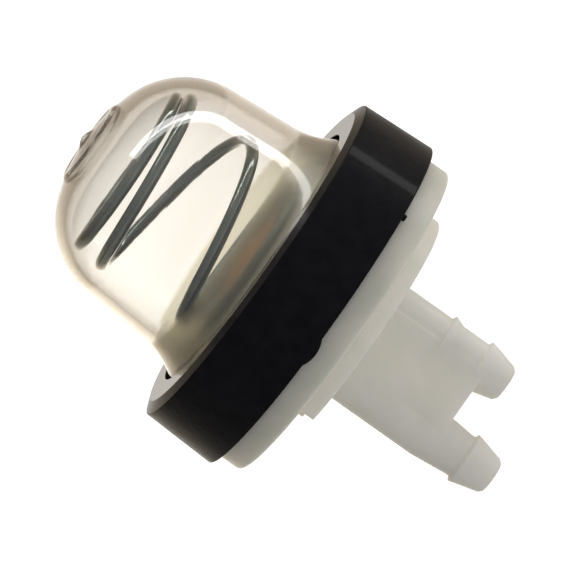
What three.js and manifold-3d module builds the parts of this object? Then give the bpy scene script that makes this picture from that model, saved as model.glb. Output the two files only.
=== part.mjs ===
// Push-button fuel primer of a small two-stroke engine. A clear bulb with a return spring in it
// is clamped on a two-nipple base by a snap-on ring. A plate in the base carries the rubber valve.
// Millimetres. +Z runs along the bulb's axis, dome up, and z = 0 is the longer nipple's end.
// +X points to the side of the shorter nipple.

import * as THREE from 'three';
import { mergeVertices } from 'three/addons/utils/BufferGeometryUtils.js';
import Module from 'manifold-3d';

const wasm = await Module();
wasm.setup();

// Fits
const fitGap = 0.3;              // clearance round the bulb, plate, valve and spring
const snapBite = 0.15;           // how far the snap bead stands past the ring's bore

// Stack along the axis, from the nipples to the crown
const longNippleReach = 5.7;     // longer nipple, past the web's end
const shortNippleReach = 2.2;    // shorter nipple, past the web's end
const webLength = 10.0;
const bossHeight = 1.8;
const flangeHeight = 2.35;
const ringHeight = 6.95;
const bulbHeight = 16.8;         // from the ring's face to the crown

// Bulb
const bulbRadius = 10.3;         // where the crown's shoulder meets the wall
const bulbTaper = 0.36;          // wall's growth in radius down to the flare
const bulbWall = 0.9;
const crownRadius = 15.9;        // flat dome of the crown
const shoulderRadius = 7.67;     // tighter round between crown and wall
const flareRadius = 7.1;
const flareAngle = 50;           // degrees of the flare's outer arc
const flareInnerAngle = 34;      // degrees of the flare's inner arc
const bulbFlangeHeight = 1.5;
const bulbFlangeLand = 0.95;     // flat of the flange outside the flare
const sealBeadHeight = 0.5;
const sealBeadWidth = 0.7;       // at its root
const sealBeadLand = 0.35;       // width of its end
const crownNubRadius = 1.1;
const crownRingRadius = 3.4;     // middle of the raised ring round the nub
const crownRingWidth = 0.7;
const crownRingRelief = 0.25;    // height of that ring
const crownNubRelief = 0.375;
const crownEdgeBevel = 0.12;     // slant of the nub's and the ring's sides
const crownBlend = 1.0;          // from the raised ring to the crown's first facet

// Retaining ring
const ringWall = 1.4;
const ringLipHeight = 1.5;
const ringDraft = 0.3;
const ringChamferWidth = 1.1;
const ringChamferHeight = 0.42;
const snapHeight = 2.0;          // middle of the snap bead above the ring's lower edge
const snapHalfHeight = 0.3;
const snapRamp = 0.4;
const lugWidth = 2.2;
const lugDrop = 0.35;
const lugInset = 0.1;            // from the ring's outer face
const lugAngle = -103;           // degrees from +X
const gateRadius = 0.3;
const gateAngle = -51;           // degrees from +X

// Base
const ringSeatWidth = 0.45;      // shoulder of the flange that the ring sits on
const flangeRound = 0.35;
const bossRadius = 11.2;
const bossRound = 0.4;
const bossFlat = 8.3;            // flat that keys the base, from the axis
const bossFlatStep = 0.3;        // deeper half of that flat
const baseFloor = 2.0;
const sealGrooveDepth = 0.8;
const webThickness = 4.5;
const webThinning = 0.15;        // each side, over the web's outer half
const nippleSpacing = 6.9;
const nippleNeckRadius = 1.95;
const longNippleRootRadius = 2.27;
const longNippleTaperLength = 3.3;
const longNippleNeckLength = 0.3; // straight part behind the barb
const barbRadius = 2.3;
const barbLength = 2.85;
const barbUndercut = 0.2;
const nippleTipRadius = 1.65;
const nippleTipRound = 0.3;
const upperBarbHeight = 4.35;    // shorter nipple's second barb, above the web's end
const upperBarbLength = 0.95;
const boreRadius = 0.9;
const wellDepth = 8.0;           // outlet well, from the plate's underside

// Valve plate
const plateDrop = 0.8;           // plate's top below the ring's face
const plateSkin = 1.4;
const plateWall = 1.2;
const plateSideGap = 0.6;        // to the bulb's wall
const plateFlangeHeight = 1.9;
const plateLap = 0.35;           // plate's flange under the bulb's flange
const springGrooveDepth = 0.5;
const inletHoleRadius = 0.5;
const inletHoleCount = 5;
const inletHoleArc = 200;        // degrees, about +X
const inletHoleGap = 0.1;        // from the outlet well's wall

// Check valve
const stemRadius = 1.1;
const lockRadius = 1.6;
const lockLand = 0.6;            // height of the lock's full radius
const lockTaper = 0.75;          // cone under it
const wellWall = 0.6;
const umbrellaLap = 0.5;         // umbrella past the inlet holes
const umbrellaEdge = 0.45;
const umbrellaRise = 0.9;
const umbrellaHollow = 0.15;
const duckbillLength = 1.95;
const duckbillLips = 0.5;        // thickness of the closed lips
const valveBoreRadius = 0.55;
const valveBoreFloor = 1.0;      // bore's end above the lips' end
const valveSlitWidth = 0.12;
const valveSlitLength = 1.54;

// Return spring
const wireDiameter = 1.05;
const springSideGap = 1.25;      // to the bulb's wall
const springTurns = 3.75;
const closedTurns = 1.0;         // at each end
const closedPitch = 1.1;
const lowerRampTurns = 0.25;     // from closed to open pitch
const upperRampTurns = 0.65;
const springEndTuck = 0.65;      // how much the crown's end turn closes in
const springStartAngle = 90;     // degrees from +X, lower end of the wire

// Facets
const roundSegments = 48;
const plateSegments = 36;
const smallSegments = 20;
const wireSides = 8;
const stepsPerTurn = 28;
const crownSteps = 3;
const shoulderSteps = 7;
const flareSteps = 5;
const umbrellaSteps = 4;
const lugSteps = 3;
const overlap = 0.4;             // how deep joined solids run into each other

// Levels
const webEndZ = longNippleReach;
const bossZ = webEndZ + webLength;
const flangeZ = bossZ + bossHeight;
const ringZ = flangeZ + flangeHeight;
const faceZ = ringZ + ringHeight;
const crownZ = faceZ + bulbHeight;
const clampZ = faceZ - ringLipHeight;
const rimZ = clampZ - bulbFlangeHeight;
const floorZ = flangeZ + baseFloor;
const plateTopZ = faceZ - plateDrop;
const plateSkinZ = plateTopZ - plateSkin;
const plateZ = rimZ - plateFlangeHeight;
const springSeatZ = plateTopZ - springGrooveDepth;
const snapZ = ringZ + snapHeight;

// Radii that follow from the bulb
const degree = Math.PI / 180;
const shoulderR = bulbRadius - shoulderRadius;
const shoulderZ = crownZ - crownRadius + Math.sqrt((crownRadius - shoulderRadius) ** 2 - shoulderR ** 2);
const crownAngle = Math.asin(shoulderR / (crownRadius - shoulderRadius));
const footRadius = bulbRadius + bulbTaper;
const flareR = footRadius + flareRadius;
const flareZ = clampZ + flareRadius * Math.sin(flareAngle * degree);
const flareEndRadius = flareR - flareRadius * Math.cos(flareAngle * degree);
const bulbFlangeRadius = flareEndRadius + bulbFlangeLand;
const bulbFlangeInner = flareR - (flareRadius + bulbWall) * Math.cos(flareInnerAngle * degree);
const ringBore = bulbFlangeRadius + fitGap;
const ringRadius = ringBore + ringWall;
const flangeRadius = ringBore + ringSeatWidth;
const rimRadius = ringBore - fitGap;
const plateFlangeRadius = bulbFlangeInner + plateLap;
const recessRadius = plateFlangeRadius + fitGap;
const sealRadius = (recessRadius + rimRadius) / 2;
const plateBossRadius = footRadius - bulbWall - plateSideGap;
const chamberRadius = plateBossRadius - plateWall;
const springRadius = bulbRadius - bulbWall - springSideGap - wireDiameter / 2;
const springEndRadius = springRadius - springEndTuck;
const wellRadius = lockRadius + fitGap;
const holeCircle = wellRadius + wellWall + inletHoleGap + inletHoleRadius;
const umbrellaRadius = holeCircle + inletHoleRadius + umbrellaLap;
const shortNippleX = nippleSpacing / 2;
const longNippleX = -nippleSpacing / 2;
const crownEdge = Math.PI / 2 - crownAngle;
const weldTolerance = 1e-4;

// Points of an arc in the profile plane, angles in radians from the +R direction.
function arc(centreR, centreZ, radius, from, to, steps) {
  const points = [];
  for (let i = 0; i <= steps; i += 1) {
    const angle = from + (to - from) * i / steps;
    points.push([centreR + radius * Math.cos(angle), centreZ + radius * Math.sin(angle)]);
  }
  return points;
}

// Welds a geometry by position alone and drops the triangles that collapse on the axis.
function weld(geometry) {
  geometry.deleteAttribute('normal');
  geometry.deleteAttribute('uv');
  const merged = mergeVertices(geometry, weldTolerance);
  const index = merged.index.array;
  const kept = [];
  for (let i = 0; i < index.length; i += 3) {
    const [a, b, c] = [index[i], index[i + 1], index[i + 2]];
    if (a !== b && b !== c && c !== a) kept.push(a, b, c);
  }
  merged.setIndex(kept);
  return merged;
}

function solidOf(geometry) {
  const welded = weld(geometry);
  return new wasm.Manifold(new wasm.Mesh({
    numProp: 3,
    vertProperties: new Float32Array(welded.attributes.position.array),
    triVerts: new Uint32Array(welded.index.array),
  }));
}

function geometryOf(solid) {
  const data = solid.getMesh();
  const geometry = new THREE.BufferGeometry();
  geometry.setAttribute('position', new THREE.BufferAttribute(new Float32Array(data.vertProperties), 3));
  geometry.setIndex(new THREE.BufferAttribute(new Uint32Array(data.triVerts), 1));
  geometry.computeVertexNormals();
  return geometry;
}

// Solid of revolution about Z. Points are [radius, height], anticlockwise with radius to the right.
function revolve(points, segments, centreX = 0) {
  const profile = points.map(([r, z]) => new THREE.Vector2(r, z));
  const geometry = new THREE.LatheGeometry(profile, segments, Math.PI / 2);
  geometry.rotateX(Math.PI / 2);
  geometry.translate(centreX, 0, 0);
  return solidOf(geometry);
}

function ringLoop(points) {
  return [...points, points[0]];
}

function cylinder(radius, fromZ, toZ, x = 0, y = 0, segments = smallSegments) {
  const geometry = new THREE.CylinderGeometry(radius, radius, toZ - fromZ, segments);
  geometry.rotateX(Math.PI / 2);
  geometry.translate(x, y, (fromZ + toZ) / 2);
  return solidOf(geometry);
}

function block(low, high) {
  const size = high.map((value, axis) => value - low[axis]);
  const geometry = new THREE.BoxGeometry(...size);
  geometry.translate(...high.map((value, axis) => (value + low[axis]) / 2));
  return solidOf(geometry);
}

// Upright prism with two round ends, from the axis to x.
function slot(x, radius, fromZ, toZ) {
  const outline = new THREE.Shape();
  outline.absarc(0, 0, radius, -Math.PI / 2, Math.PI / 2, false);
  outline.absarc(x, 0, radius, Math.PI / 2, 3 * Math.PI / 2, false);
  const geometry = new THREE.ExtrudeGeometry(outline, {
    depth: toZ - fromZ,
    bevelEnabled: false,
    curveSegments: smallSegments / 2,
  });
  geometry.translate(0, 0, fromZ);
  return solidOf(geometry);
}

function part(name, solid, color, roughness, extra = {}) {
  const material = new THREE.MeshStandardMaterial({ color, roughness, metalness: 0, ...extra });
  const mesh = new THREE.Mesh(geometryOf(solid), material);
  mesh.name = name;
  return mesh;
}

// Height of the crown's outer face at a radius inside its flat dome.
function crownHeight(radius) {
  return crownZ - crownRadius + Math.sqrt(crownRadius ** 2 - radius ** 2);
}

// Outer face of the bulb from the axis down to the flange, with the raised ring and nub.
function bulbOuterFace() {
  const ringInner = crownRingRadius - crownRingWidth / 2;
  const ringOuter = crownRingRadius + crownRingWidth / 2;
  const nubZ = crownZ + crownNubRelief;
  const crownStart = Math.acos((ringOuter + crownBlend) / crownRadius);
  return [
    [0, nubZ],
    [crownNubRadius - crownEdgeBevel, nubZ],
    [crownNubRadius, crownHeight(crownNubRadius)],
    [ringInner, crownHeight(ringInner)],
    [ringInner + crownEdgeBevel, crownHeight(ringInner) + crownRingRelief],
    [ringOuter - crownEdgeBevel, crownHeight(ringOuter) + crownRingRelief],
    [ringOuter, crownHeight(ringOuter)],
    ...arc(0, crownZ - crownRadius, crownRadius, crownStart, crownEdge, crownSteps),
    ...arc(shoulderR, shoulderZ, shoulderRadius, crownEdge, 0, shoulderSteps).slice(1),
    ...arc(flareR, flareZ, flareRadius, Math.PI, Math.PI + flareAngle * degree, flareSteps),
    [bulbFlangeRadius, clampZ],
  ];
}

// Inner face of the bulb from the flange up to the axis.
function bulbInnerFace() {
  const innerFlare = Math.PI + flareInnerAngle * degree;
  return [
    [bulbFlangeInner, rimZ],
    ...arc(flareR, flareZ, flareRadius + bulbWall, innerFlare, Math.PI, flareSteps),
    ...arc(shoulderR, shoulderZ, shoulderRadius - bulbWall, 0, crownEdge, shoulderSteps),
    ...arc(0, crownZ - crownRadius, crownRadius - bulbWall, crownEdge, Math.PI / 2, crownSteps).slice(1),
  ];
}

function makeBulb() {
  const half = sealBeadWidth / 2;
  const land = sealBeadLand / 2;
  const underside = [
    [bulbFlangeRadius, rimZ],
    [sealRadius + half, rimZ],
    [sealRadius + land, rimZ - sealBeadHeight],
    [sealRadius - land, rimZ - sealBeadHeight],
    [sealRadius - half, rimZ],
  ];
  const profile = [...bulbOuterFace(), ...underside, ...bulbInnerFace()];
  return revolve(profile.reverse(), roundSegments);
}

// Snap bead on the base, or the groove for it in the ring, as profile points going up.
function snapProfile(baseRadius, topRadius, gap) {
  const half = snapHalfHeight + gap;
  return [
    [baseRadius, snapZ - half - snapRamp],
    [topRadius, snapZ - half],
    [topRadius, snapZ + half],
    [baseRadius, snapZ + half + snapRamp],
  ];
}

function makeRing() {
  const mouthRadius = flareRadius - fitGap;
  const mouthTop = Math.PI + Math.asin((flareZ - faceZ) / mouthRadius);
  const mouthEnd = Math.PI + Math.asin((flareZ - clampZ) / mouthRadius);
  const topRadius = ringRadius - ringDraft;
  const profile = ringLoop([
    [ringBore, ringZ],
    [ringRadius, ringZ],
    [topRadius, faceZ - ringChamferHeight],
    [topRadius - ringChamferWidth, faceZ],
    ...arc(flareR, flareZ, mouthRadius, mouthTop, mouthEnd, flareSteps),
    [ringBore, clampZ],
    ...snapProfile(ringBore, ringBore + snapBite + fitGap, fitGap).reverse(),
  ]);
  const skirt = revolve(profile, roundSegments);
  const middle = (ringBore + ringRadius) / 2 + fitGap;
  const lug = ringLug(middle);
  const gate = cylinder(
    gateRadius, ringZ - gateRadius, ringZ + overlap,
    (ringRadius - gateRadius) * Math.cos(gateAngle * degree),
    (ringRadius - gateRadius) * Math.sin(gateAngle * degree), smallSegments / 2,
  );
  return skirt.add(lug).add(gate);
}

// Small lug under the ring's lower edge, outside the flange of the base.
function ringLug(innerRadius) {
  const halfAngle = lugWidth / ringRadius / 2;
  const outerRadius = ringRadius - lugInset;
  const outline = new THREE.Shape();
  outline.absarc(0, 0, outerRadius, -halfAngle, halfAngle, false);
  outline.absarc(0, 0, innerRadius, halfAngle, -halfAngle, true);
  const geometry = new THREE.ExtrudeGeometry(outline, {
    depth: lugDrop + overlap,
    bevelEnabled: false,
    curveSegments: lugSteps,
  });
  geometry.rotateZ(lugAngle * degree);
  geometry.translate(0, 0, ringZ - lugDrop);
  return solidOf(geometry);
}

// Rounded lower outer corner of a disc, as points going up.
function lowerCorner(radius, z, round) {
  const inset = round * (1 - Math.SQRT1_2);
  return [
    [radius - round, z],
    [radius - inset, z + inset],
    [radius, z + round],
  ];
}

// Flange, rim and chamber of the base, turned about the axis.
function baseTurning() {
  const half = sealBeadWidth / 2 + fitGap;
  const land = sealBeadLand / 2 + fitGap;
  return revolve([
    [0, flangeZ],
    ...lowerCorner(flangeRadius, flangeZ, flangeRound),
    [flangeRadius, ringZ],
    [rimRadius, ringZ],
    ...snapProfile(rimRadius, ringBore + snapBite, 0),
    [rimRadius, rimZ],
    [sealRadius + half, rimZ],
    [sealRadius + land, rimZ - sealGrooveDepth],
    [sealRadius - land, rimZ - sealGrooveDepth],
    [sealRadius - half, rimZ],
    [recessRadius, rimZ],
    [recessRadius, plateZ],
    [chamberRadius, plateZ],
    [chamberRadius, floorZ],
    [0, floorZ],
  ], roundSegments);
}

// Boss under the flange, with the stepped flat that keys the base in its hole.
function baseBoss() {
  const disc = revolve([
    [0, bossZ],
    ...lowerCorner(bossRadius, bossZ, bossRound),
    [bossRadius, flangeZ + overlap],
    [0, flangeZ + overlap],
  ], roundSegments);
  const middleZ = (bossZ + flangeZ) / 2;
  const reach = 2 * bossRadius;
  const flat = block([-reach, -reach, bossZ - overlap], [-bossFlat, reach, flangeZ]);
  const step = block([-reach, -reach, bossZ - overlap], [-bossFlat + bossFlatStep, reach, middleZ]);
  return disc.subtract(flat).subtract(step);
}

function baseWeb() {
  const thick = webThickness / 2;
  const thin = thick - webThinning;
  const middleZ = webEndZ + webLength / 2;
  const root = block([longNippleX, -thick, middleZ], [shortNippleX, thick, bossZ + overlap]);
  const outer = block([longNippleX, -thin, webEndZ], [shortNippleX, thin, middleZ + overlap]);
  return root.add(outer);
}

// Outline of a nipple from its end upwards: a barb, the neck, then the points given.
function nippleProfile(tipZ, rest) {
  const barbZ = tipZ + barbLength;
  return [
    [0, tipZ],
    [nippleTipRadius - nippleTipRound, tipZ],
    [nippleTipRadius, tipZ + nippleTipRound],
    [barbRadius, barbZ],
    [nippleNeckRadius, barbZ + barbUndercut],
    ...rest,
    [0, bossZ + overlap],
  ];
}

function shortNipple() {
  const barbZ = webEndZ + upperBarbHeight;
  const profile = nippleProfile(webEndZ - shortNippleReach, [
    [nippleNeckRadius, barbZ - upperBarbLength],
    [barbRadius, barbZ],
    [nippleNeckRadius, barbZ + barbUndercut],
    [nippleNeckRadius, bossZ + overlap],
  ]);
  return revolve(profile, smallSegments, shortNippleX);
}

function longNipple() {
  const tipZ = webEndZ - longNippleReach;
  const taperZ = tipZ + barbLength + barbUndercut + longNippleNeckLength;
  const profile = nippleProfile(tipZ, [
    [nippleNeckRadius, taperZ],
    [longNippleRootRadius, taperZ + longNippleTaperLength],
    [longNippleRootRadius, bossZ + overlap],
  ]);
  return revolve(profile, smallSegments, longNippleX);
}

function makeBase() {
  const wellZ = plateSkinZ - wellDepth;
  const above = plateSkinZ + overlap;
  const body = baseTurning()
    .add(baseBoss())
    .add(baseWeb())
    .add(shortNipple())
    .add(longNipple())
    .add(slot(longNippleX, wellRadius + wellWall, floorZ - overlap, plateSkinZ));
  const shortBore = cylinder(boreRadius, -overlap, floorZ, shortNippleX);
  const longBore = cylinder(boreRadius, -overlap, wellZ + overlap, longNippleX);
  const chamberMouth = cylinder(boreRadius, floorZ - overlap, plateZ, shortNippleX);
  return body
    .subtract(slot(longNippleX, wellRadius, wellZ, above))
    .subtract(shortBore)
    .subtract(chamberMouth)
    .subtract(longBore);
}

function makeValvePlate() {
  const grooveInner = springRadius - wireDiameter / 2 - fitGap;
  const grooveOuter = springRadius + wireDiameter / 2 + fitGap;
  const hat = revolve([
    [0, plateSkinZ],
    [chamberRadius, plateSkinZ],
    [chamberRadius, plateZ],
    [plateFlangeRadius, plateZ],
    [plateFlangeRadius, rimZ],
    [plateBossRadius, rimZ],
    [plateBossRadius, plateTopZ],
    [grooveOuter, plateTopZ],
    [grooveOuter, springSeatZ],
    [grooveInner, springSeatZ],
    [grooveInner, plateTopZ],
    [0, plateTopZ],
  ], plateSegments);
  const low = plateSkinZ - overlap;
  const high = plateTopZ + overlap;
  let plate = hat.subtract(cylinder(stemRadius + fitGap, low, high));
  for (let i = 0; i < inletHoleCount; i += 1) {
    const angle = (i / (inletHoleCount - 1) - 0.5) * inletHoleArc * degree;
    const x = holeCircle * Math.cos(angle);
    const y = holeCircle * Math.sin(angle);
    plate = plate.subtract(cylinder(inletHoleRadius, low, high, x, y, smallSegments / 2));
  }
  return plate;
}

// Umbrella over the inlet holes, stem with its lock, and a duckbill that opens to the outlet.
function makeCheckValve() {
  const lockTopZ = plateSkinZ - fitGap;
  const lockZ = lockTopZ - lockLand;
  const coneZ = lockZ - lockTaper;
  const lipZ = coneZ - duckbillLength;
  const edgeZ = plateTopZ + umbrellaEdge;
  const rimInner = umbrellaRadius - umbrellaLap / 2;
  const body = revolve([
    [0, lipZ],
    [stemRadius, lipZ],
    [stemRadius, coneZ],
    [lockRadius, lockZ],
    [lockRadius, lockTopZ],
    [stemRadius, lockTopZ],
    [stemRadius, plateTopZ + umbrellaHollow],
    [rimInner, plateTopZ + umbrellaHollow],
    [rimInner, plateTopZ],
    [umbrellaRadius, plateTopZ],
    ...arc(0, 0, 1, 0, Math.PI / 2, umbrellaSteps)
      .map(([across, up]) => [umbrellaRadius * across, edgeZ + umbrellaRise * up]),
  ], smallSegments);
  const topZ = edgeZ + umbrellaRise + overlap;
  const floorLevel = lipZ + valveBoreFloor;
  const bore = cylinder(valveBoreRadius, floorLevel, topZ, 0, 0, smallSegments / 2);
  const slit = block(
    [-valveSlitWidth / 2, -valveSlitLength / 2, lipZ - overlap],
    [valveSlitWidth / 2, valveSlitLength / 2, floorLevel + overlap],
  );
  return body
    .subtract(duckbillBevel(lipZ, coneZ, 1))
    .subtract(duckbillBevel(lipZ, coneZ, -1))
    .subtract(bore)
    .subtract(slit);
}

// Wedge that is cut off one side of the stem's end to leave the flat lips.
function duckbillBevel(lipZ, coneZ, side) {
  const outline = new THREE.Shape([
    new THREE.Vector2(duckbillLips / 2 * side, lipZ - overlap),
    new THREE.Vector2(lockRadius * side, lipZ - overlap),
    new THREE.Vector2(lockRadius * side, coneZ),
    new THREE.Vector2(stemRadius * side, coneZ),
  ]);
  const reach = lockRadius + overlap;
  const geometry = new THREE.ExtrudeGeometry(outline, { depth: 2 * reach, bevelEnabled: false });
  geometry.rotateX(Math.PI / 2);
  geometry.translate(0, reach, 0);
  return solidOf(geometry);
}

// Area under a ramp that climbs from 0 to 1 over its length and stays there.
function rampArea(x, length) {
  if (x <= 0) return 0;
  if (x < length) return x * x / (2 * length);
  return x - length / 2;
}

// Centre line of the wire: closed end turns, an open middle, and an end that tucks in.
class SpringLine extends THREE.Curve {
  constructor(lowZ, highZ) {
    super();
    this.lowZ = lowZ;
    this.openRise = highZ - lowZ - closedPitch * springTurns;
    this.openArea = this.areaAt(springTurns);
  }

  areaAt(turn) {
    const upperRamp = springTurns - closedTurns - upperRampTurns;
    return rampArea(turn - closedTurns, lowerRampTurns) - rampArea(turn - upperRamp, upperRampTurns);
  }

  getPoint(t, target = new THREE.Vector3()) {
    const turn = t * springTurns;
    const tuck = Math.max(0, (turn - springTurns + closedTurns) / closedTurns);
    const radius = springRadius - springEndTuck * tuck;
    const angle = springStartAngle * degree + turn * 2 * Math.PI;
    const z = this.lowZ + closedPitch * turn + this.openRise * this.areaAt(turn) / this.openArea;
    return target.set(radius * Math.cos(angle), radius * Math.sin(angle), z);
  }
}

function makeSpring() {
  const wire = wireDiameter / 2;
  const lowZ = springSeatZ + wire + fitGap;
  const crownClearance = shoulderRadius - bulbWall - wire - fitGap;
  const highZ = shoulderZ + Math.sqrt(crownClearance ** 2 - (springEndRadius - shoulderR) ** 2);
  const section = new THREE.Shape();
  section.absarc(0, 0, wire, 0, 2 * Math.PI, false);
  const geometry = new THREE.ExtrudeGeometry(section, {
    steps: Math.round(springTurns * stepsPerTurn),
    curveSegments: wireSides,
    extrudePath: new SpringLine(lowZ, highZ),
  });
  return solidOf(geometry);
}

const clear = { transparent: true, opacity: 0.35 };
const primer = new THREE.Group();
primer.add(
  part('bulb', makeBulb(), 0xe8e0d6, 0.12, clear),
  part('return_spring', makeSpring(), 0x55605c, 0.35, { metalness: 1 }),
  part('retaining_ring', makeRing(), 0x141416, 0.45),
  part('base_body', makeBase(), 0xc9c7ba, 0.4),
  part('valve_plate', makeValvePlate(), 0xcfcdc2, 0.4),
  part('check_valve', makeCheckValve(), 0xc9822c, 0.5),
);

export default primer;
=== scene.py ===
import math

import bmesh
import bpy
from mathutils import Matrix, Vector


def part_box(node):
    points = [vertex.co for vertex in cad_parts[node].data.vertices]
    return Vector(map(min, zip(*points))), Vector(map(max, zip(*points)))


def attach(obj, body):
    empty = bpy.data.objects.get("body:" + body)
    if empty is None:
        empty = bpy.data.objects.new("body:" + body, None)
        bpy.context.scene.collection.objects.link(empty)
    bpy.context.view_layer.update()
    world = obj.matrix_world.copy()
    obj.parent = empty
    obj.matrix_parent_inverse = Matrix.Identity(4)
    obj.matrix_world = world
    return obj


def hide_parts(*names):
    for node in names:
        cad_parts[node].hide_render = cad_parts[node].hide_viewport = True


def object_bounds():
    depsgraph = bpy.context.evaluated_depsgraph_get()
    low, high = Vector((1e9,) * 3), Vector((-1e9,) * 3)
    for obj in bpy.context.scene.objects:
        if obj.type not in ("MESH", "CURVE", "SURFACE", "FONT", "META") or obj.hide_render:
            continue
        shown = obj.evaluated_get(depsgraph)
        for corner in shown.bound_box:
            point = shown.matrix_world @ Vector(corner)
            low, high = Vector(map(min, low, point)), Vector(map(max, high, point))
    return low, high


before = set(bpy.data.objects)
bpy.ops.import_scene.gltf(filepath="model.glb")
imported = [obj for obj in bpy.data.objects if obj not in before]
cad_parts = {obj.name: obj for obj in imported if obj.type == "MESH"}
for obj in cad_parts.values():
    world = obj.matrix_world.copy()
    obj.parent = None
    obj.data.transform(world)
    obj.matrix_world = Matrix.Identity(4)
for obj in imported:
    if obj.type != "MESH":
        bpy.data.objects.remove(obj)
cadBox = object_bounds()

mm = 0.001
root = "root"
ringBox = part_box("retaining_ring")
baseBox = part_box("base_body")
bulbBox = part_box("bulb")
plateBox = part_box("valve_plate")
print("frame loaded", [round(v / mm, 2) for corner in cadBox for v in corner])


# camera first: long lens, rolled so that the bulb points up and to the left
view = {
    "target": (-0.35, 0.0, 23.06),  # mm, what stands in the picture's middle
    "distance": 900.0,
    "elevation": 6.0,  # degrees, crown tips towards the camera
    "roll": 54.74,  # degrees, from upright to the picture's slant
    "width": 47.16,  # mm across the picture
    "sensor": 36.0,
    "nearest": 0.05,  # metres
    "farthest": 50.0,
}


def makeCamera(values):
    data = bpy.data.cameras.new("camera")
    data.sensor_width = values["sensor"]
    data.lens = data.sensor_width * values["distance"] / values["width"]
    data.clip_start = values["nearest"]
    data.clip_end = values["farthest"]
    camera = bpy.data.objects.new("camera", data)
    bpy.context.scene.collection.objects.link(camera)
    tilt = math.radians(values["elevation"])
    roll = math.radians(values["roll"])
    towards = Vector((0.0, -math.cos(tilt), math.sin(tilt)))
    right = Vector((1.0, 0.0, 0.0))
    up = towards.cross(right)
    rolledRight = right * math.cos(roll) - up * math.sin(roll)
    rolledUp = right * math.sin(roll) + up * math.cos(roll)
    place = Vector(values["target"]) * mm + towards * values["distance"] * mm
    turn = Matrix((rolledRight, rolledUp, towards)).transposed()
    camera.matrix_world = Matrix.Translation(place) @ turn.to_4x4()
    bpy.context.scene.camera = camera
    return rolledRight, rolledUp, towards


pictureRight, pictureUp, pictureNear = makeCamera(view)
print("camera placed")


# outline helpers, all in millimetres as (radius, height) pairs
def arc(centre, radius, start, end, steps):
    points = []
    for i in range(steps + 1):
        angle = math.radians(start + (end - start) * i / steps)
        points.append((centre[0] + radius * math.cos(angle), centre[1] + radius * math.sin(angle)))
    return points


def rounded(points, steps=5):
    # a third number on a point is the radius of its corner
    outline = []
    count = len(points)
    for i, point in enumerate(points):
        radius = point[2] if len(point) > 2 else 0.0
        here = Vector(point[:2])
        if radius <= 0.0:
            outline.append(tuple(here))
            continue
        before = (Vector(points[i - 1][:2]) - here).normalized()
        after = (Vector(points[(i + 1) % count][:2]) - here).normalized()
        half = before.angle(after) / 2
        reach = radius / math.tan(half)
        middle = here + (before + after).normalized() * radius / math.sin(half)
        first = here + before * reach - middle
        last = here + after * reach - middle
        sweep = first.angle_signed(last)
        for k in range(steps + 1):
            spoke = first.copy()
            spoke.rotate(Matrix.Rotation(-sweep * k / steps, 2))
            outline.append(tuple(middle + spoke))
    return outline


def turned(name, outline, segments, centreX=0.0):
    # solid of revolution about the bulb's axis, or about one beside it
    bm = bmesh.new()
    columns = []
    for i in range(segments):
        angle = 2 * math.pi * i / segments
        column = []
        for radius, height in outline:
            x = centreX + radius * math.cos(angle)
            y = radius * math.sin(angle)
            column.append(bm.verts.new((x * mm, y * mm, height * mm)))
        columns.append(column)
    count = len(outline)
    for i in range(segments):
        a = columns[i]
        b = columns[(i + 1) % segments]
        for k in range(count):
            n = (k + 1) % count
            if outline[k][0] < 1e-6 and outline[n][0] < 1e-6:
                continue
            bm.faces.new((a[k], b[k], b[n], a[n]))
    bmesh.ops.remove_doubles(bm, verts=bm.verts, dist=1e-7)
    bmesh.ops.dissolve_degenerate(bm, edges=bm.edges, dist=1e-8)
    bmesh.ops.recalc_face_normals(bm, faces=bm.faces)
    return meshObject(name, bm)


def meshObject(name, bm):
    data = bpy.data.meshes.new(name)
    bm.to_mesh(data)
    bm.free()
    piece = bpy.data.objects.new(name, data)
    bpy.context.scene.collection.objects.link(piece)
    return piece


def boxPiece(name, low, high):
    bm = bmesh.new()
    bmesh.ops.create_cube(bm, size=1.0)
    for vert in bm.verts:
        for axis in range(3):
            vert.co[axis] = (high[axis] if vert.co[axis] > 0 else low[axis]) * mm
    return meshObject(name, bm)


def combine(piece, tool, operation):
    modifier = piece.modifiers.new(operation.lower(), "BOOLEAN")
    modifier.object = tool
    modifier.operation = operation
    modifier.solver = "EXACT"
    depsgraph = bpy.context.evaluated_depsgraph_get()
    result = bpy.data.meshes.new_from_object(piece.evaluated_get(depsgraph))
    piece.modifiers.clear()
    piece.data = result
    bpy.data.objects.remove(tool)
    return piece


def finished(piece, material, node, sharp=32.0):
    piece.data.materials.clear()
    piece.data.materials.append(material)
    for polygon in piece.data.polygons:
        polygon.use_smooth = True
    piece.data.set_sharp_from_angle(angle=math.radians(sharp))
    # large faces stay flat in the shading
    flatten = piece.modifiers.new("flat_faces", "WEIGHTED_NORMAL")
    flatten.keep_sharp = True
    flatten.weight = 100
    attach(piece, root)
    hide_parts(node)
    print("made", piece.name, len(piece.data.polygons), "faces")
    return piece


# node helpers for the materials
def newMaterial(name):
    material = bpy.data.materials.new(name)
    material.use_nodes = True
    tree = material.node_tree
    shader = tree.nodes["Principled BSDF"]
    return material, tree, shader


def addSocket(group, name, kind, way):
    group.interface.new_socket(name=name, in_out=way, socket_type=kind)


grain = {
    "fineDetail": 3.0,
    "broadScale": 160.0,
    "broadDetail": 2.0,
    "broadFrom": 0.35,
    "broadTo": 0.65,
}
mottle = {
    "detail": 4.0,
    "noiseFrom": 0.3,
    "noiseTo": 0.7,
}


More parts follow.
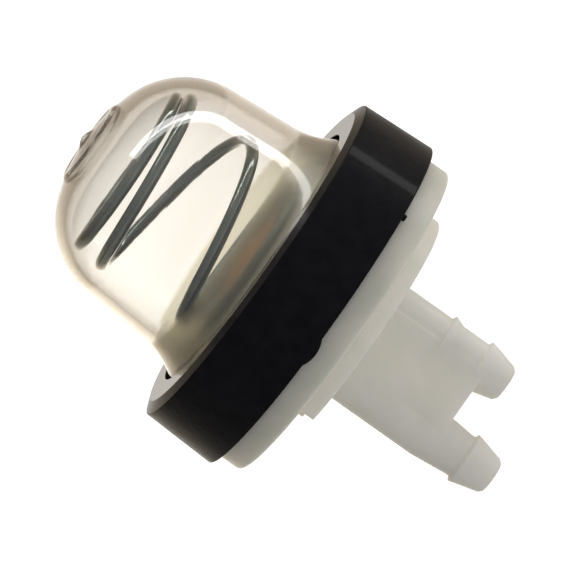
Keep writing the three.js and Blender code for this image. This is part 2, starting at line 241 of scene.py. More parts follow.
def makeGrainGroup(values):
    # fine moulded grain: height for a bump and a slight change of gloss
    group = bpy.data.node_groups.new("mouldGrain", "ShaderNodeTree")
    addSocket(group, "Scale", "NodeSocketFloat", "INPUT")
    addSocket(group, "Gloss Low", "NodeSocketFloat", "INPUT")
    addSocket(group, "Gloss High", "NodeSocketFloat", "INPUT")
    addSocket(group, "Height", "NodeSocketFloat", "OUTPUT")
    addSocket(group, "Roughness", "NodeSocketFloat", "OUTPUT")
    nodes = group.nodes
    links = group.links
    entry = nodes.new("NodeGroupInput")
    leave = nodes.new("NodeGroupOutput")
    place = nodes.new("ShaderNodeTexCoord")
    fine = nodes.new("ShaderNodeTexNoise")
    fine.inputs["Detail"].default_value = values["fineDetail"]
    broad = nodes.new("ShaderNodeTexNoise")
    broad.inputs["Scale"].default_value = values["broadScale"]
    broad.inputs["Detail"].default_value = values["broadDetail"]
    gloss = nodes.new("ShaderNodeMapRange")
    gloss.inputs["From Min"].default_value = values["broadFrom"]
    gloss.inputs["From Max"].default_value = values["broadTo"]
    links.new(place.outputs["Object"], fine.inputs["Vector"])
    links.new(place.outputs["Object"], broad.inputs["Vector"])
    links.new(entry.outputs["Scale"], fine.inputs["Scale"])
    links.new(broad.outputs["Fac"], gloss.inputs["Value"])
    links.new(entry.outputs["Gloss Low"], gloss.inputs["To Min"])
    links.new(entry.outputs["Gloss High"], gloss.inputs["To Max"])
    links.new(fine.outputs["Fac"], leave.inputs["Height"])
    links.new(gloss.outputs["Result"], leave.inputs["Roughness"])
    return group


def makeMottleGroup(values):
    # slow drift between two tints, as in natural plastic and rubber
    group = bpy.data.node_groups.new("tintDrift", "ShaderNodeTree")
    addSocket(group, "Tint A", "NodeSocketColor", "INPUT")
    addSocket(group, "Tint B", "NodeSocketColor", "INPUT")
    addSocket(group, "Scale", "NodeSocketFloat", "INPUT")
    addSocket(group, "Color", "NodeSocketColor", "OUTPUT")
    nodes = group.nodes
    links = group.links
    entry = nodes.new("NodeGroupInput")
    leave = nodes.new("NodeGroupOutput")
    place = nodes.new("ShaderNodeTexCoord")
    noise = nodes.new("ShaderNodeTexNoise")
    noise.inputs["Detail"].default_value = values["detail"]
    spread = nodes.new("ShaderNodeMapRange")
    spread.inputs["From Min"].default_value = values["noiseFrom"]
    spread.inputs["From Max"].default_value = values["noiseTo"]
    blend = nodes.new("ShaderNodeMix")
    blend.data_type = "RGBA"
    links.new(place.outputs["Object"], noise.inputs["Vector"])
    links.new(entry.outputs["Scale"], noise.inputs["Scale"])
    links.new(noise.outputs["Fac"], spread.inputs["Value"])
    links.new(spread.outputs["Result"], blend.inputs["Factor"])
    links.new(entry.outputs["Tint A"], blend.inputs["A"])
    links.new(entry.outputs["Tint B"], blend.inputs["B"])
    links.new(blend.outputs["Result"], leave.inputs["Color"])
    return group


mouldGrain = makeGrainGroup(grain)
tintDrift = makeMottleGroup(mottle)


def placeGroup(tree, group, **values):
    node = tree.nodes.new("ShaderNodeGroup")
    node.node_tree = group
    for name, value in values.items():
        node.inputs[name.replace("_", " ")].default_value = value
    return node


def grained(tree, shader, scale, low, high, depth):
    # links the mould grain to a shader's gloss and normal
    node = placeGroup(tree, mouldGrain, Scale=scale, Gloss_Low=low, Gloss_High=high)
    bump = tree.nodes.new("ShaderNodeBump")
    bump.inputs["Strength"].default_value = 1.0
    bump.inputs["Distance"].default_value = depth * mm
    tree.links.new(node.outputs["Height"], bump.inputs["Height"])
    tree.links.new(bump.outputs["Normal"], shader.inputs["Normal"])
    tree.links.new(node.outputs["Roughness"], shader.inputs["Roughness"])
    return bump


def drifting(tree, shader, tintA, tintB, scale):
    drift = placeGroup(tree, tintDrift, Tint_A=(*tintA, 1.0), Tint_B=(*tintB, 1.0), Scale=scale)
    tree.links.new(drift.outputs["Color"], shader.inputs["Base Color"])
    return drift.outputs["Color"]


def heightMask(tree, low, high):
    # 0 at the first level and 1 at the second, both in millimetres
    place = tree.nodes.new("ShaderNodeTexCoord")
    split = tree.nodes.new("ShaderNodeSeparateXYZ")
    mask = tree.nodes.new("ShaderNodeMapRange")
    mask.inputs["From Min"].default_value = low * mm
    mask.inputs["From Max"].default_value = high * mm
    tree.links.new(place.outputs["Object"], split.inputs["Vector"])
    tree.links.new(split.outputs["Z"], mask.inputs["Value"])
    return mask.outputs["Result"]


def blended(tree, kind, mask, first, second):
    mix = tree.nodes.new("ShaderNodeMix")
    mix.data_type = kind
    tree.links.new(mask, mix.inputs["Factor"])
    for name, value in (("A", first), ("B", second)):
        if isinstance(value, bpy.types.NodeSocket):
            tree.links.new(value, mix.inputs[name])
        else:
            mix.inputs[name].default_value = value
    return mix.outputs["Result"]


def multiplied(tree, first, second):
    mix = tree.nodes.new("ShaderNodeMix")
    mix.data_type = "RGBA"
    mix.blend_type = "MULTIPLY"
    mix.inputs["Factor"].default_value = 1.0
    tree.links.new(first, mix.inputs["A"])
    tree.links.new(second, mix.inputs["B"])
    return mix.outputs["Result"]


# bulb: clear flexible plastic with a faint warm tint in its depth
clearPlastic = {
    "tint": (0.985, 0.975, 0.96),
    "depthTint": (0.87, 0.85, 0.80),
    "depth": 52.0,  # absorption for each metre of wall
    "ior": 1.49,
    "waveScale": 260.0,
    "waveDepth": 0.012,
    "shadowTint": (0.93, 0.91, 0.88),
    "frostTop": 29.5,  # mm, level under which the foot is left matt
    "frostFade": 0.2,
    # painted shade: darker olive tint on the foot, for the dim inside seen through the flare
    "footShadeTint": (0.72, 0.69, 0.57),
    "clearGloss": 0.05,
    "frostGloss": 0.27,
    "crownGloss": 0.22,
    "crownReach": 1.0,  # mm under the crown's top
    "coat": 0.9,
    "coatGloss": 0.06,
}


def makeClearPlastic(values):
    material, tree, shader = newMaterial("clear_plastic")
    nodes = tree.nodes
    shader.inputs["Coat Weight"].default_value = values["coat"]
    shader.inputs["Coat Roughness"].default_value = values["coatGloss"]
    shader.inputs["Transmission Weight"].default_value = 1.0
    shader.inputs["Metallic"].default_value = 0.0
    shader.inputs["IOR"].default_value = values["ior"]
    gloss = values["clearGloss"]
    grained(tree, shader, values["waveScale"], gloss, gloss, values["waveDepth"])
    # matt foot and crown: gloss and tint follow the height on the bulb; the foot's darker olive tint is
    # painted shade, for the dim inside seen through the flare
    fade = values["frostFade"]
    foot = heightMask(tree, values["frostTop"] + fade, values["frostTop"] - fade)
    top = bulbBox[1][2] / mm
    crown = heightMask(tree, top - values["crownReach"], top - values["crownReach"] / 2)
    footGloss = blended(tree, "FLOAT", foot, values["clearGloss"], values["frostGloss"])
    gloss = blended(tree, "FLOAT", crown, footGloss, values["crownGloss"])
    # painted shade on the foot: below the frost level the clear tint turns darker and olive
    tint = blended(tree, "RGBA", foot, (*values["tint"], 1.0), (*values["footShadeTint"], 1.0))
    tree.links.new(gloss, shader.inputs["Roughness"])
    tree.links.new(tint, shader.inputs["Base Color"])
    depth = nodes.new("ShaderNodeVolumeAbsorption")
    depth.inputs["Color"].default_value = (*values["depthTint"], 1.0)
    depth.inputs["Density"].default_value = values["depth"]
    tree.links.new(depth.outputs["Volume"], nodes["Material Output"].inputs["Volume"])
    # light passes the thin wall without a hard shadow
    path = nodes.new("ShaderNodeLightPath")
    through = nodes.new("ShaderNodeBsdfTransparent")
    through.inputs["Color"].default_value = (*values["shadowTint"], 1.0)
    mix = nodes.new("ShaderNodeMixShader")
    tree.links.new(path.outputs["Is Shadow Ray"], mix.inputs["Fac"])
    tree.links.new(shader.outputs["BSDF"], mix.inputs[1])
    tree.links.new(through.outputs["BSDF"], mix.inputs[2])
    tree.links.new(mix.outputs["Shader"], nodes["Material Output"].inputs["Surface"])
    return material


bulb = {
    "radius": 10.3,
    "taper": 0.36,
    "wall": 0.9,
    "crownRadius": 15.9,
    "shoulderRadius": 7.67,
    "flareRadius": 7.1,
    "flareAngle": 50.0,
    "flareInnerAngle": 34.0,
    "flangeHeight": 1.5,
    "flangeLand": 0.95,
    "flangeRound": 0.15,
    "mouthRound": 0.3,
    "nubRadius": 1.3,
    "nubHeight": 0.375,
    "ringRadius": 3.4,
    "ringWidth": 1.1,
    "ringHeight": 0.16,
    "reliefReach": 4.5,
    "reliefSteps": 60,
    "lipHeight": 1.5,  # the ring's lip over the flange
    "segments": 160,
}
crownZ = bulbBox[1][2] / mm - bulb["nubHeight"]
faceZ = ringBox[1][2] / mm
clampZ = faceZ - bulb["lipHeight"]
shoulderR = bulb["radius"] - bulb["shoulderRadius"]
crownGap = bulb["crownRadius"] - bulb["shoulderRadius"]
shoulderZ = crownZ - bulb["crownRadius"] + math.sqrt(crownGap ** 2 - shoulderR ** 2)
crownEdge = 90.0 - math.degrees(math.asin(shoulderR / crownGap))
flareR = bulb["radius"] + bulb["taper"] + bulb["flareRadius"]
flareZ = clampZ + bulb["flareRadius"] * math.sin(math.radians(bulb["flareAngle"]))


def crownHeight(radius):
    return crownZ - bulb["crownRadius"] + math.sqrt(bulb["crownRadius"] ** 2 - radius ** 2)


def crownRelief():
    # plain raised ring and nub that swell softly out of the crown
    points = []
    for i in range(bulb["reliefSteps"] + 1):
        radius = bulb["reliefReach"] * i / bulb["reliefSteps"]
        nub = swell(radius / bulb["nubRadius"]) * bulb["nubHeight"]
        bead = swell(2 * (radius - bulb["ringRadius"]) / bulb["ringWidth"]) * bulb["ringHeight"]
        points.append((radius, crownHeight(radius) + nub + bead))
    return points


def swell(at):
    return 0.5 + 0.5 * math.cos(math.pi * at) if abs(at) < 1.0 else 0.0


def makeBulb(values):
    wall = values["wall"]
    start = 90.0 - math.degrees(math.asin(values["reliefReach"] / values["crownRadius"]))
    flangeR = flareR - values["flareRadius"] * math.cos(math.radians(values["flareAngle"]))
    flangeR += values["flangeLand"]
    rimZ = clampZ - values["flangeHeight"]
    innerAngle = values["flareInnerAngle"]
    innerR = flareR - (values["flareRadius"] + wall) * math.cos(math.radians(innerAngle))
    outside = crownRelief()
    crownMiddle = (0.0, crownZ - values["crownRadius"])
    shoulderMiddle = (shoulderR, shoulderZ)
    flareMiddle = (flareR, flareZ)
    outside += arc(crownMiddle, values["crownRadius"], start, crownEdge, 6)[1:]
    outside += arc(shoulderMiddle, values["shoulderRadius"], crownEdge, 0.0, 26)[1:]
    outside += arc(flareMiddle, values["flareRadius"], 180.0, 180.0 + values["flareAngle"], 16)
    flange = rounded([
        (flareR, clampZ),
        (flangeR, clampZ, values["flangeRound"]),
        (flangeR, rimZ, values["flangeRound"]),
        (innerR, rimZ, values["mouthRound"]),
        (innerR, clampZ),
    ])[1:-1]
    inside = arc(flareMiddle, values["flareRadius"] + wall, 180.0 + innerAngle, 180.0, 12)
    inside += arc(shoulderMiddle, values["shoulderRadius"] - wall, 0.0, crownEdge, 24)
    inside += arc(crownMiddle, values["crownRadius"] - wall, crownEdge, 90.0, 12)[1:]
    piece = turned("clear_bulb", outside + flange + inside, values["segments"])
    return finished(piece, makeClearPlastic(clearPlastic), "bulb", 40.0)


makeBulb(bulb)


# retaining ring: black moulded plastic, satin, with softened edges
blackPlastic = {
    "tintA": (0.0025, 0.0026, 0.0046),
    "tintB": (0.0064, 0.0066, 0.0094),
    "specular": 0.05,
    "coat": 0.075,
    "coatGloss": 0.09,
    "tintScale": 700.0,
    "grainScale": 1900.0,
    "grainDepth": 0.03,
    "glossLow": 0.36,
    "glossHigh": 0.46,
    "faceGloss": 0.12,
    "faceCoat": 0.5,
    "faceFrom": 0.9,  # how far a surface faces up, as its normal's height
    "faceTo": 0.99,
}


def makeBlackPlastic(values):
    material, tree, shader = newMaterial("black_plastic")
    shader.inputs["Metallic"].default_value = 0.0
    shader.inputs["IOR"].default_value = 1.5
    shader.inputs["Specular IOR Level"].default_value = values["specular"]
    shader.inputs["Coat Roughness"].default_value = values["coatGloss"]
    drifting(tree, shader, values["tintA"], values["tintB"], values["tintScale"])
    bump = grained(tree, shader, values["grainScale"], values["glossLow"], values["glossHigh"],
                   values["grainDepth"])
    # the end face comes off a polished part of the mould
    place = tree.nodes.new("ShaderNodeTexCoord")
    split = tree.nodes.new("ShaderNodeSeparateXYZ")
    face = tree.nodes.new("ShaderNodeMapRange")
    face.inputs["From Min"].default_value = values["faceFrom"]
    face.inputs["From Max"].default_value = values["faceTo"]
    tree.links.new(place.outputs["Normal"], split.inputs["Vector"])
    tree.links.new(split.outputs["Z"], face.inputs["Value"])
    polish = face.outputs["Result"]
    wallGloss = shader.inputs["Roughness"].links[0].from_socket
    gloss = blended(tree, "FLOAT", polish, wallGloss, values["faceGloss"])
    coat = blended(tree, "FLOAT", polish, values["coat"], values["faceCoat"])
    tree.links.new(gloss, shader.inputs["Roughness"])
    tree.links.new(coat, shader.inputs["Coat Weight"])
    tree.links.new(blended(tree, "FLOAT", polish, 1.0, 0.0), bump.inputs["Strength"])
    return material


ring = {
    "wall": 1.4,
    "draft": 0.3,
    "chamferWidth": 1.1,
    "chamferHeight": 0.42,
    "edge": 0.12,
    "boreRound": 0.1,
    "lipLand": 0.02,
    "lipRound": 0.06,
    "fit": 0.3,
    "lugWidth": 2.8,
    "lugDrop": 0.35,
    "lugAngle": -103.0,
    "lugInset": 0.1,
    "lugEdge": 0.08,
    "lugSteps": 16,
    "sink": 0.3,  # how far the lug reaches up into the ring
    "gateRadius": 0.3,
    "gateSink": 0.05,
    "gateAngle": -51.0,
    "segments": 192,
}


def makeRing(values):
    radius = ringBox[1][0] / mm
    bottom = ringBox[0][2] / mm + values["lugDrop"]
    bore = radius - values["wall"]
    top = radius - values["draft"]
    mouth = bulb["flareRadius"] - values["fit"]
    mouthTop = 180.0 + math.degrees(math.asin((flareZ - faceZ) / mouth))
    mouthEnd = 180.0 + math.degrees(math.asin((flareZ - clampZ) / mouth))
    lipR = flareR + mouth * math.cos(math.radians(mouthTop)) + values["lipLand"]
    outline = rounded([
        (bore, bottom, values["boreRound"]),
        (radius, bottom, values["edge"]),
        (top, faceZ - values["chamferHeight"], values["edge"]),
        (top - values["chamferWidth"], faceZ, values["edge"]),
        (lipR, faceZ, values["lipRound"]),
        *arc((flareR, flareZ), mouth, mouthTop + 1.0, mouthEnd, 6),
        (bore, clampZ),
    ])
    piece = turned("black_ring", outline, values["segments"])
    lug = lugPiece(values, bore, radius, bottom)
    combine(piece, lug, "UNION")
    gate = turned("gate", rounded([
        (0.0, bottom - values["gateRadius"]),
        (values["gateRadius"], bottom - values["gateRadius"], values["edge"]),
        (values["gateRadius"], bottom + values["gateSink"]),
        (0.0, bottom + values["gateSink"]),
    ]), 24, radius - values["gateRadius"] - values["edge"])
    gate.data.transform(Matrix.Rotation(math.radians(values["gateAngle"]), 4, "Z"))
    combine(piece, gate, "UNION")
    return finished(piece, makeBlackPlastic(blackPlastic), "retaining_ring")


def lugPiece(values, bore, radius, bottom):
    # low bump whose ends run out into the ring's edge
    outside = radius - values["lugInset"]
    inside = (bore + radius) / 2 + values["fit"]
    half = values["lugWidth"] / radius / 2
    edge = values["lugEdge"]
    top = bottom + values["sink"]
    steps = values["lugSteps"]
    bm = bmesh.new()
    loops = []
    for i in range(steps + 1):
        at = 2 * i / steps - 1
        angle = math.radians(values["lugAngle"]) + half * at
        low = bottom - values["lugDrop"] * (1 - at ** 2)
        corners = [(outside, top), (outside, low + edge), (outside - edge, low)]
        corners += [(inside, low), (inside, top)]
        loop = []
        for r, z in corners:
            loop.append(bm.verts.new((r * math.cos(angle) * mm, r * math.sin(angle) * mm, z * mm)))
        loops.append(loop)
    for a, b in zip(loops, loops[1:]):
        for k in range(len(a)):
            n = (k + 1) % len(a)
            bm.faces.new((a[k], b[k], b[n], a[n]))
    bm.faces.new(loops[0])
    bm.faces.new(loops[-1][::-1])
    bmesh.ops.recalc_face_normals(bm, faces=bm.faces)
    return meshObject("lug", bm)


makeRing(ring)


# return spring: drawn steel wire, closed end turns, open middle
springSteel = {
    "tintA": (0.066, 0.098, 0.084),
    "tintB": (0.150, 0.180, 0.155),
    "glossLow": 0.07,
    "glossHigh": 0.14,
    "coat": 1.0,  # oil film
    "coatGloss": 0.05,
    "tintScale": 600.0,
    "grainScale": 3000.0,
    "grainDepth": 0.004,
}


def makeSpringSteel(values):
    material, tree, shader = newMaterial("spring_steel")
    shader.inputs["Metallic"].default_value = 1.0
    shader.inputs["Coat Weight"].default_value = values["coat"]
    shader.inputs["Coat Roughness"].default_value = values["coatGloss"]
    drifting(tree, shader, values["tintA"], values["tintB"], values["tintScale"])
    grained(tree, shader, values["grainScale"], values["glossLow"], values["glossHigh"],
            values["grainDepth"])
    return material


spring = {
    "wire": 1.05,
    "sideGap": 1.25,
    "turns": 3.75,
    "closedTurns": 1.0,
    "closedPitch": 1.1,
    "lowerRamp": 0.25,
    "upperRamp": 0.65,
    "endTuck": 0.65,
    "startAngle": 90.0,
    "fit": 0.3,
    "sides": 24,
    "stepsPerTurn": 90,
    "cutEnd": 0.86,  # the cut ends are slightly broken
}


def rampArea(x, length):
    if x <= 0:
        return 0.0
    if x < length:
        return x * x / (2 * length)
    return x - length / 2


def springLine(values, turn, low, high):
    upper = values["turns"] - values["closedTurns"] - values["upperRamp"]

    def openArea(at):
        lower = rampArea(at - values["closedTurns"], values["lowerRamp"])
        return lower - rampArea(at - upper, values["upperRamp"])

    rise = high - low - values["closedPitch"] * values["turns"]
    tuck = max(0.0, (turn - values["turns"] + values["closedTurns"]) / values["closedTurns"])
    radius = bulb["radius"] - bulb["wall"] - values["sideGap"] - values["wire"] / 2
    radius -= values["endTuck"] * tuck
    angle = math.radians(values["startAngle"] + 360.0 * turn)
    z = low + values["closedPitch"] * turn + rise * openArea(turn) / openArea(values["turns"])
    return Vector((radius * math.cos(angle), radius * math.sin(angle), z))


def makeSpring(values):
    wire = values["wire"] / 2
    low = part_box("return_spring")[0][2] / mm + wire
    clearance = bulb["shoulderRadius"] - bulb["wall"] - wire - values["fit"]
    endRadius = bulb["radius"] - bulb["wall"] - values["sideGap"] - wire - values["endTuck"]
    high = shoulderZ + math.sqrt(clearance ** 2 - (endRadius - shoulderR) ** 2)
    steps = round(values["turns"] * values["stepsPerTurn"])
    bm = bmesh.new()
    loops = []
    for i in range(steps + 1):
        turn = values["turns"] * i / steps
        here = springLine(values, turn, low, high)
        ahead = springLine(values, turn + 0.001, low, high)
        ahead -= springLine(values, turn - 0.001, low, high)
        ahead.normalize()
        outward = Vector((here.x, here.y, 0.0)).normalized()
        outward = (outward - ahead * outward.dot(ahead)).normalized()
        across = ahead.cross(outward)
        end = min(i, steps - i)
        size = wire * (values["cutEnd"] if end == 0 else 1.0)
        loop = []
        for k in range(values["sides"]):
            angle = 2 * math.pi * k / values["sides"]
            point = here + outward * size * math.cos(angle) + across * size * math.sin(angle)
            loop.append(bm.verts.new(point * mm))
        loops.append(loop)
    for i in range(steps):
        for k in range(values["sides"]):
            n = (k + 1) % values["sides"]
            bm.faces.new((loops[i][k], loops[i][n], loops[i + 1][n], loops[i + 1][k]))
    bm.faces.new(loops[0][::-1])
    bm.faces.new(loops[-1])
    bmesh.ops.recalc_face_normals(bm, faces=bm.faces)
    piece = meshObject("wire_spring", bm)
    return finished(piece, makeSpringSteel(springSteel), "return_spring")


makeSpring(spring)


# base: natural milky plastic that light soaks into
milkyPlastic = {
    "tintA": (0.96, 0.93, 0.87),
    "tintB": (0.84, 0.855, 0.78),
    "paintedShadeTint": (0.72, 0.73, 0.72),  # painted shade: the flange and everything above it are darkened
    "paintedShadeFrom": 17.35,
    "paintedShadeTo": 17.75,
    "soak": 0.75,
    "soakReach": 2.5,  # mm
    "soakColor": (1.0, 0.95, 0.8),
    "tintScale": 260.0,
    "grainScale": 1400.0,
    "glossLow": 0.32,
    "glossHigh": 0.42,
    "grainDepth": 0.006,
}


def makeMilkyPlastic(values, name):
    material, tree, shader = newMaterial(name)
    shader.inputs["Metallic"].default_value = 0.0
    shader.inputs["IOR"].default_value = 1.5
    shader.inputs["Subsurface Weight"].default_value = values["soak"]
    shader.inputs["Subsurface Radius"].default_value = values["soakColor"]
    shader.inputs["Subsurface Scale"].default_value = values["soakReach"] * mm
    drift = drifting(tree, shader, values["tintA"], values["tintB"], values["tintScale"])
    # painted shade: above this level the flange, its rim and the valve plate are darkened
    thick = heightMask(tree, values["paintedShadeFrom"], values["paintedShadeTo"])
    tint = blended(tree, "RGBA", thick, (1.0, 1.0, 1.0, 1.0), (*values["paintedShadeTint"], 1.0))
    tree.links.new(multiplied(tree, drift, tint), shader.inputs["Base Color"])
    grained(tree, shader, values["grainScale"], values["glossLow"], values["glossHigh"],
            values["grainDepth"])
    return material


base = {
    "seatWidth": 0.45,
    "flangeRound": 0.35,
    "flangeHeight": 2.35,
    "bossRadius": 11.2,
    "bossRound": 0.4,
    "bossHeight": 1.8,
    "bossFlat": 8.3,
    "bossStep": 0.3,
    "webLength": 10.0,
    "webThickness": 4.5,
    "webThinning": 0.15,
    "nippleSpacing": 6.9,
    "neckRadius": 1.95,
    "rootRadius": 2.27,
    "neckLength": 0.3,
    "taperLength": 3.3,
    "barbRadius": 2.3,
    "barbLength": 2.85,
    "undercut": 0.2,
    "tipRadius": 1.65,
    "tipRound": 0.3,
    "tipEdge": 0.15,
    "tipShoulder": 0.2,
    "shortReach": 2.2,
    "upperBarbHeight": 4.35,
    "upperBarbLength": 0.95,
    "boreRadius": 0.9,
    "boreOver": 0.2,  # how far the bore is cut past the floor
    "floor": 2.0,
    "wellRadius": 8.0,
    "seatRound": 0.1,
    "rimRound": 0.15,
    "barbEdge": 0.06,
    "neckFillet": 0.08,
    "sink": 0.4,  # how far joined bodies reach into each other
    "segments": 160,
    "nippleSegments": 72,
}


def nippleOutline(values, tipZ, rest, topZ):
    barbZ = tipZ + values["barbLength"]
    return rounded([
        (0.0, tipZ),
        (values["tipRadius"] - values["tipRound"], tipZ, values["tipEdge"]),
        (values["tipRadius"], tipZ + values["tipRound"], values["tipShoulder"]),
        (values["barbRadius"], barbZ, values["barbEdge"]),
        (values["neckRadius"], barbZ + values["undercut"], values["neckFillet"]),
        *rest,
        (0.0, topZ),
    ])


def makeBase(values):
    tip = baseBox[0][2] / mm
    seatZ = ringBox[0][2] / mm + ring["lugDrop"]
    flangeZ = seatZ - values["flangeHeight"]
    bossZ = flangeZ - values["bossHeight"]
    webZ = bossZ - values["webLength"]
    plateZ = plateBox[0][2] / mm
    flangeR = baseBox[1][0] / mm
    bore = flangeR - values["seatWidth"]
    rimR = bore - ring["fit"]
    rimTop = clampZ - bulb["flangeHeight"]
    recessR = plateBox[1][0] / mm + ring["fit"]
    sink = values["sink"]
    body = turned("milky_base", rounded([
        (0.0, flangeZ),
        (flangeR, flangeZ, values["flangeRound"]),
        (flangeR, seatZ, values["seatRound"]),
        (rimR, seatZ),
        (rimR, rimTop, values["rimRound"]),
        (recessR, rimTop, values["rimRound"]),
        (recessR, plateZ),
        (values["wellRadius"], plateZ),
        (values["wellRadius"], flangeZ + values["floor"]),
        (0.0, flangeZ + values["floor"]),
    ]), values["segments"])
    boss = turned("boss", rounded([
        (0.0, bossZ),
        (values["bossRadius"], bossZ, values["bossRound"]),
        (values["bossRadius"], flangeZ + sink),
        (0.0, flangeZ + sink),
    ]), values["segments"])
    reach = 2 * values["bossRadius"]
    middleZ = (bossZ + flangeZ) / 2
    corner = (-reach, -reach, bossZ - 1)
    flat = values["bossFlat"]
    combine(boss, boxPiece("flat", corner, (-flat, reach, flangeZ + 1)), "DIFFERENCE")
    combine(boss, boxPiece("step", corner, (values["bossStep"] - flat, reach, middleZ)), "DIFFERENCE")
    combine(body, boss, "UNION")
    side = values["nippleSpacing"] / 2
    thick = values["webThickness"] / 2
    thin = thick - values["webThinning"]
    half = webZ + values["webLength"] / 2
    combine(body, boxPiece("web_root", (-side, -thick, half), (side, thick, bossZ + sink)), "UNION")
    combine(body, boxPiece("web_end", (-side, -thin, webZ), (side, thin, half + sink)), "UNION")
    combine(body, shortNipple(values, webZ, bossZ + sink, side), "UNION")
    combine(body, longNipple(values, tip, bossZ + sink, -side), "UNION")
    high = flangeZ + values["floor"] + values["boreOver"]
    for x, low in ((side, webZ - values["shortReach"]), (-side, tip)):
        hole = turned("hole", [
            (0.0, low - sink),
            (values["boreRadius"], low - sink),
            (values["boreRadius"], high),
            (0.0, high),
        ], values["nippleSegments"], x)
        combine(body, hole, "DIFFERENCE")
    print("base levels", round(tip, 2), round(webZ, 2), round(bossZ, 2))
    return finished(body, makeMilkyPlastic(milkyPlastic, "milky_plastic"), "base_body", 30.0)


def shortNipple(values, webZ, topZ, x):
    barbZ = webZ + values["upperBarbHeight"]
    outline = nippleOutline(values, webZ - values["shortReach"], [
        (values["neckRadius"], barbZ - values["upperBarbLength"]),
        (values["barbRadius"], barbZ, values["barbEdge"]),
        (values["neckRadius"], barbZ + values["undercut"], values["neckFillet"]),
        (values["neckRadius"], topZ),
    ], topZ)
    return turned("short_nipple", outline, values["nippleSegments"], x)


def longNipple(values, tip, topZ, x):
    taperZ = tip + values["barbLength"] + values["undercut"] + values["neckLength"]
    outline = nippleOutline(values, tip, [
        (values["neckRadius"], taperZ),
        (values["rootRadius"], taperZ + values["taperLength"]),
        (values["rootRadius"], topZ),
    ], topZ)
    return turned("long_nipple", outline, values["nippleSegments"], x)


makeBase(base)


# valve plate and check valve keep their solids, with finished materials
amberRubber = {
    "tintA": (0.52, 0.235, 0.055),
    "tintB": (0.38, 0.16, 0.035),
    "soak": 0.5,
    "soakReach": 1.2,  # mm
    "soakColor": (1.0, 0.6, 0.25),
    "tintScale": 300.0,
    "grainScale": 1800.0,
    "glossLow": 0.3,
    "glossHigh": 0.45,
    "grainDepth": 0.004,
}


def makeAmberRubber(values):
    material, tree, shader = newMaterial("amber_rubber")
    shader.inputs["Metallic"].default_value = 0.0
    shader.inputs["Subsurface Weight"].default_value = values["soak"]
    shader.inputs["Subsurface Radius"].default_value = values["soakColor"]
    shader.inputs["Subsurface Scale"].default_value = values["soakReach"] * mm
    drifting(tree, shader, values["tintA"], values["tintB"], values["tintScale"])
    grained(tree, shader, values["grainScale"], values["glossLow"], values["glossHigh"],
            values["grainDepth"])
    return material


def dress(node, material):
    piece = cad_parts[node]
    piece.data.materials.clear()
    piece.data.materials.append(material)


dress("valve_plate", makeMilkyPlastic(milkyPlastic, "plate_plastic"))
dress("check_valve", makeAmberRubber(amberRubber))
print("inner pieces dressed")


# floor, surroundings and lights
studio = {
    "floorDrop": 60.0,  # mm under the object
    "floorSize": 12.0,  # metres
    "floorTint": (0.5, 0.5, 0.5),
    "floorGloss": 0.9,
    # glow of the room by direction, from in front of the object to behind it
    "glow": (
        (0.00, (0.47, 0.47, 0.475)),
        (0.40, (0.36, 0.355, 0.35)),
        (0.55, (0.28, 0.25, 0.22)),
        (0.70, (0.27, 0.24, 0.20)),
        (0.85, (0.36, 0.315, 0.255)),
        (0.955, (0.66, 0.575, 0.475)),
        (0.992, (1.05, 1.05, 1.04)),
    ),
    # how the glow leans from the bottom to the top of the picture, behind the object and beside it
    "behindLower": (1.40, 1.37, 1.27),
    "behindUpper": (0.75, 0.71, 0.66),
    "behindLean": 0.16,
    "besideLower": (0.62, 0.62, 0.63),
    "besideUpper": (1.12, 1.09, 1.05),
    "besideLean": 0.7,
    "behindFrom": 0.84,
    "behindTo": 0.93,
    "stripHeight": 0.5,
    "stripSlant": 0.38,  # far end lies further back
    "stripForward": 0.05,
    "stripSize": (1.1, 0.08),
    "stripPower": 1.5,
}


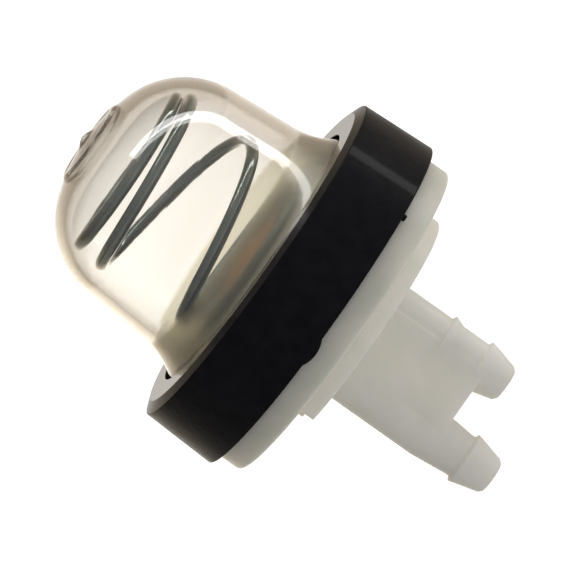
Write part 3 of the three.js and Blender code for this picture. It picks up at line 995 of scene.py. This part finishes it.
def makeGlowGroup(values):
    group = bpy.data.node_groups.new("roomGlow", "ShaderNodeTree")
    addSocket(group, "Direction", "NodeSocketVector", "INPUT")
    addSocket(group, "Color", "NodeSocketColor", "OUTPUT")
    nodes = group.nodes
    links = group.links
    entry = nodes.new("NodeGroupInput")
    leave = nodes.new("NodeGroupOutput")
    unit = nodes.new("ShaderNodeVectorMath")
    unit.operation = "NORMALIZE"
    facing = nodes.new("ShaderNodeVectorMath")
    facing.operation = "DOT_PRODUCT"
    facing.inputs[1].default_value = tuple(-pictureNear)
    level = nodes.new("ShaderNodeMapRange")
    level.inputs["From Min"].default_value = -1.0
    level.inputs["From Max"].default_value = 1.0
    ramp = nodes.new("ShaderNodeValToRGB")
    stops = ramp.color_ramp.elements
    stops[0].position, stops[1].position = values["glow"][0][0], values["glow"][-1][0]
    stops[0].color, stops[1].color = (*values["glow"][0][1], 1.0), (*values["glow"][-1][1], 1.0)
    for position, color in values["glow"][1:-1]:
        stops.new(position).color = (*color, 1.0)
    links.new(entry.outputs["Direction"], unit.inputs[0])
    links.new(unit.outputs["Vector"], facing.inputs[0])
    links.new(facing.outputs["Value"], level.inputs["Value"])
    links.new(level.outputs["Result"], ramp.inputs["Fac"])
    height = nodes.new("ShaderNodeVectorMath")
    height.operation = "DOT_PRODUCT"
    height.inputs[1].default_value = tuple(pictureUp)
    links.new(unit.outputs["Vector"], height.inputs[0])
    tints = []
    for side in ("behind", "beside"):
        lean = nodes.new("ShaderNodeMapRange")
        lean.inputs["From Min"].default_value = -values[side + "Lean"]
        lean.inputs["From Max"].default_value = values[side + "Lean"]
        links.new(height.outputs["Value"], lean.inputs["Value"])
        low, high = values[side + "Lower"], values[side + "Upper"]
        tints.append(blended(group, "RGBA", lean.outputs["Result"], (*low, 1.0), (*high, 1.0)))
    behind = nodes.new("ShaderNodeMapRange")
    behind.inputs["From Min"].default_value = values["behindFrom"]
    behind.inputs["From Max"].default_value = values["behindTo"]
    links.new(level.outputs["Result"], behind.inputs["Value"])
    tint = blended(group, "RGBA", behind.outputs["Result"], tints[1], tints[0])
    links.new(multiplied(group, ramp.outputs["Color"], tint), leave.inputs["Color"])
    return group


roomGlow = makeGlowGroup(studio)


def glowNodes(tree, direction):
    # the camera itself sees plain white, all else sees the room's glow
    glow = placeGroup(tree, roomGlow)
    path = tree.nodes.new("ShaderNodeLightPath")
    mix = tree.nodes.new("ShaderNodeMix")
    mix.data_type = "RGBA"
    mix.inputs["B"].default_value = (1.0, 1.0, 1.0, 1.0)
    tree.links.new(direction, glow.inputs["Direction"])
    tree.links.new(path.outputs["Is Camera Ray"], mix.inputs["Factor"])
    tree.links.new(glow.outputs["Color"], mix.inputs["A"])
    return mix.outputs["Result"]


def makeFloor(values):
    half = values["floorSize"] / 2
    bm = bmesh.new()
    corners = [bm.verts.new((x * half, y * half, 0.0)) for x, y in ((-1, -1), (1, -1), (1, 1), (-1, 1))]
    bm.faces.new(corners)
    floor = meshObject("floor", bm)
    floor.location.z = cadBox[0][2] - values["floorDrop"] * mm
    material, tree, shader = newMaterial("pale_floor")
    shader.inputs["Base Color"].default_value = (*values["floorTint"], 1.0)
    shader.inputs["Roughness"].default_value = values["floorGloss"]
    shader.inputs["Specular IOR Level"].default_value = 0.0
    shader.inputs["Emission Strength"].default_value = 1.0
    place = tree.nodes.new("ShaderNodeTexCoord")
    offset = tree.nodes.new("ShaderNodeVectorMath")
    offset.operation = "SUBTRACT"
    offset.inputs[1].default_value = (0.0, 0.0, view["target"][2] * mm - floor.location.z)
    tree.links.new(place.outputs["Object"], offset.inputs[0])
    tree.links.new(glowNodes(tree, offset.outputs["Vector"]), shader.inputs["Emission Color"])
    floor.data.materials.append(material)


def makeWorld():
    world = bpy.data.worlds.new("studio")
    bpy.context.scene.world = world
    world.use_nodes = True
    tree = world.node_tree
    background = tree.nodes["Background"]
    background.inputs["Strength"].default_value = 1.0
    place = tree.nodes.new("ShaderNodeTexCoord")
    tree.links.new(glowNodes(tree, place.outputs["Generated"]), background.inputs["Color"])


def addPanel(name, place, facing, along, size, power):
    data = bpy.data.lights.new(name, "AREA")
    data.shape = "RECTANGLE"
    data.size, data.size_y = size
    data.energy = power
    lamp = bpy.data.objects.new(name, data)
    bpy.context.scene.collection.objects.link(lamp)
    back = facing.normalized()
    side = (along - back * along.dot(back)).normalized()
    turn = Matrix((side, back.cross(side), back)).transposed()
    lamp.matrix_world = Matrix.Translation(place) @ turn.to_4x4()
    return lamp


makeFloor(studio)
makeWorld()
stripPlace = Vector(view["target"]) * mm
stripPlace += pictureUp * studio["stripHeight"] + pictureNear * studio["stripForward"]
stripAlong = pictureRight - pictureNear * studio["stripSlant"]
addPanel("overhead_strip", stripPlace, pictureUp, stripAlong, studio["stripSize"], studio["stripPower"])
bpy.context.scene.view_settings.view_transform = "Standard"
print("studio lit")
